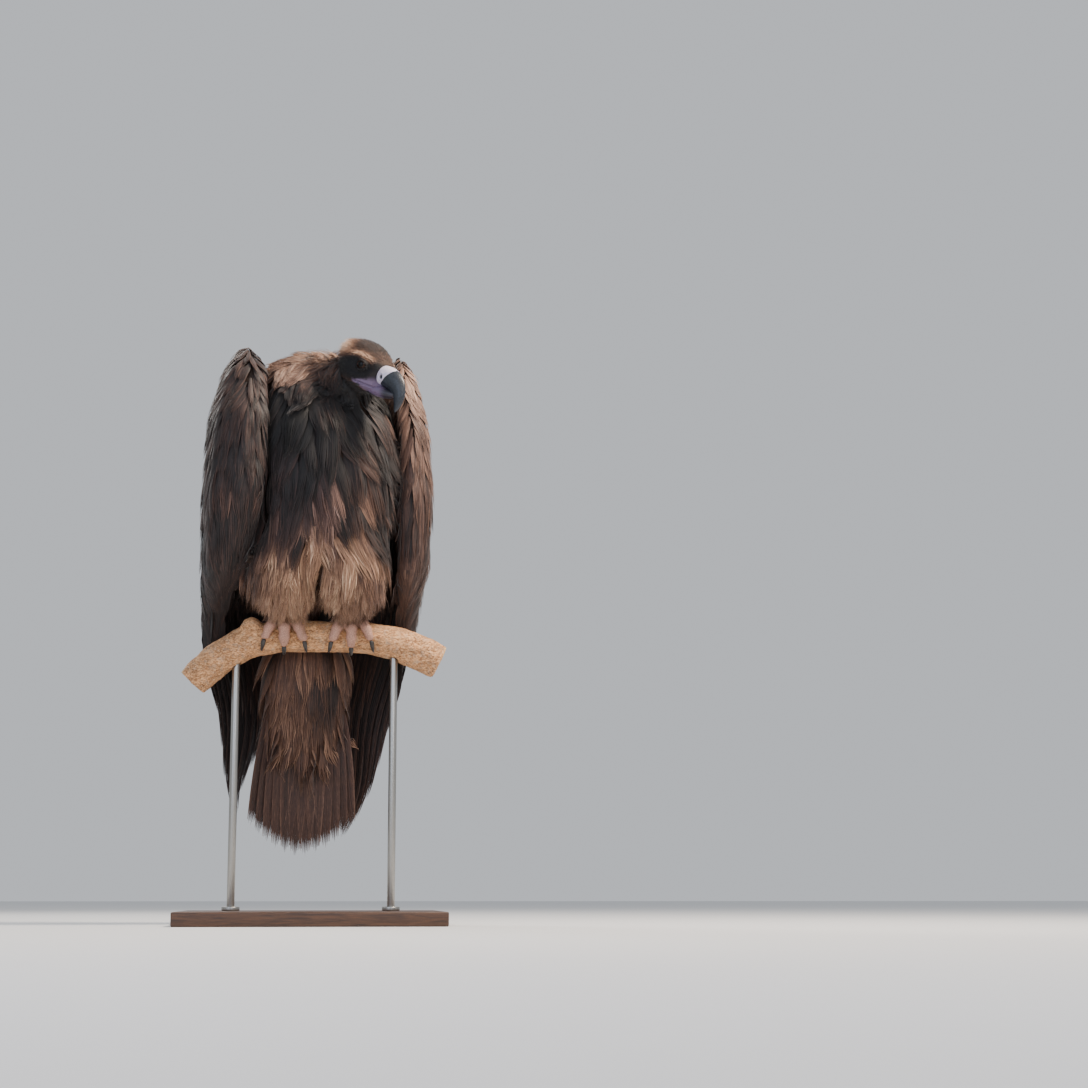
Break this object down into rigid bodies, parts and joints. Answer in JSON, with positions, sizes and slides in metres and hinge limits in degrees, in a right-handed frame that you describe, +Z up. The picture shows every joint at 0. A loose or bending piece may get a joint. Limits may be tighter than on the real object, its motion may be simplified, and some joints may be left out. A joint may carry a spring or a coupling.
{
  "type": "perched vulture model",
  "caption": "Life-size dark brown vulture, hunched with closed wings and its head turned, gripping a cut branch held on rods over a flat stand.",
  "frame": {"origin": "centre of the stand base's underside, on the floor", "axes": "+Z up, +X to the bird's own left along the perch, -Y the way its breast faces"},
  "size_m": [0.467, 0.4005, 1.0144],
  "materials": {
    "plumage": "matt dark brown body feathers with paler worn edges",
    "flight_feathers": "dull near-black long feathers",
    "trousers": "soft sandy brown leg and belly feathers",
    "head_down": "short velvety brown down",
    "cere_skin": "soft pale lilac skin",
    "bill_horn": "smooth dark slate horn",
    "claw_horn": "smooth near-black horn",
    "eye": "wet dark brown eye",
    "leg_skin": "pale pinkish grey scaled skin",
    "bark": "dry tan bark, sawn across at both ends",
    "stand_wood": "dark satin wood",
    "stand_steel": "brushed"
  },
  "bodies": {
    "root": {"trunk": "plumage", "ruff": "plumage", "tail_coverts": "plumage", "wing_arm_left": "plumage", "wing_arm_right": "plumage", "wing_primaries_left": "flight_feathers", "wing_primaries_right": "flight_feathers", "wing_secondaries_left": "flight_feathers", "wing_secondaries_right": "flight_feathers", "tail_feathers": "flight_feathers", "thigh_left": "trousers", "thigh_right": "trousers", "head": "head_down", "neck": "head_down", "cere": "cere_skin", "bill_lower": "cere_skin", "bill_upper": "bill_horn", "eye_left": "eye", "shank_left": "leg_skin", "foot_left": "leg_skin", "toe_inner_left": "leg_skin", "claw_inner_left": "claw_horn", "toe_middle_left": "leg_skin", "claw_middle_left": "claw_horn", "toe_outer_left": "leg_skin", "claw_outer_left": "claw_horn", "toe_hind_left": "leg_skin", "claw_hind_left": "claw_horn", "stand_rod_left": "stand_steel", "stand_collar_left": "stand_steel", "eye_right": "eye", "shank_right": "leg_skin", "foot_right": "leg_skin", "toe_inner_right": "leg_skin", "claw_inner_right": "claw_horn", "toe_middle_right": "leg_skin", "claw_middle_right": "claw_horn", "toe_outer_right": "leg_skin", "claw_outer_right": "claw_horn", "toe_hind_right": "leg_skin", "claw_hind_right": "claw_horn", "stand_rod_right": "stand_steel", "stand_collar_right": "stand_steel", "perch_branch": "bark", "stand_base": "stand_wood"}
  },
  "joints": []
}
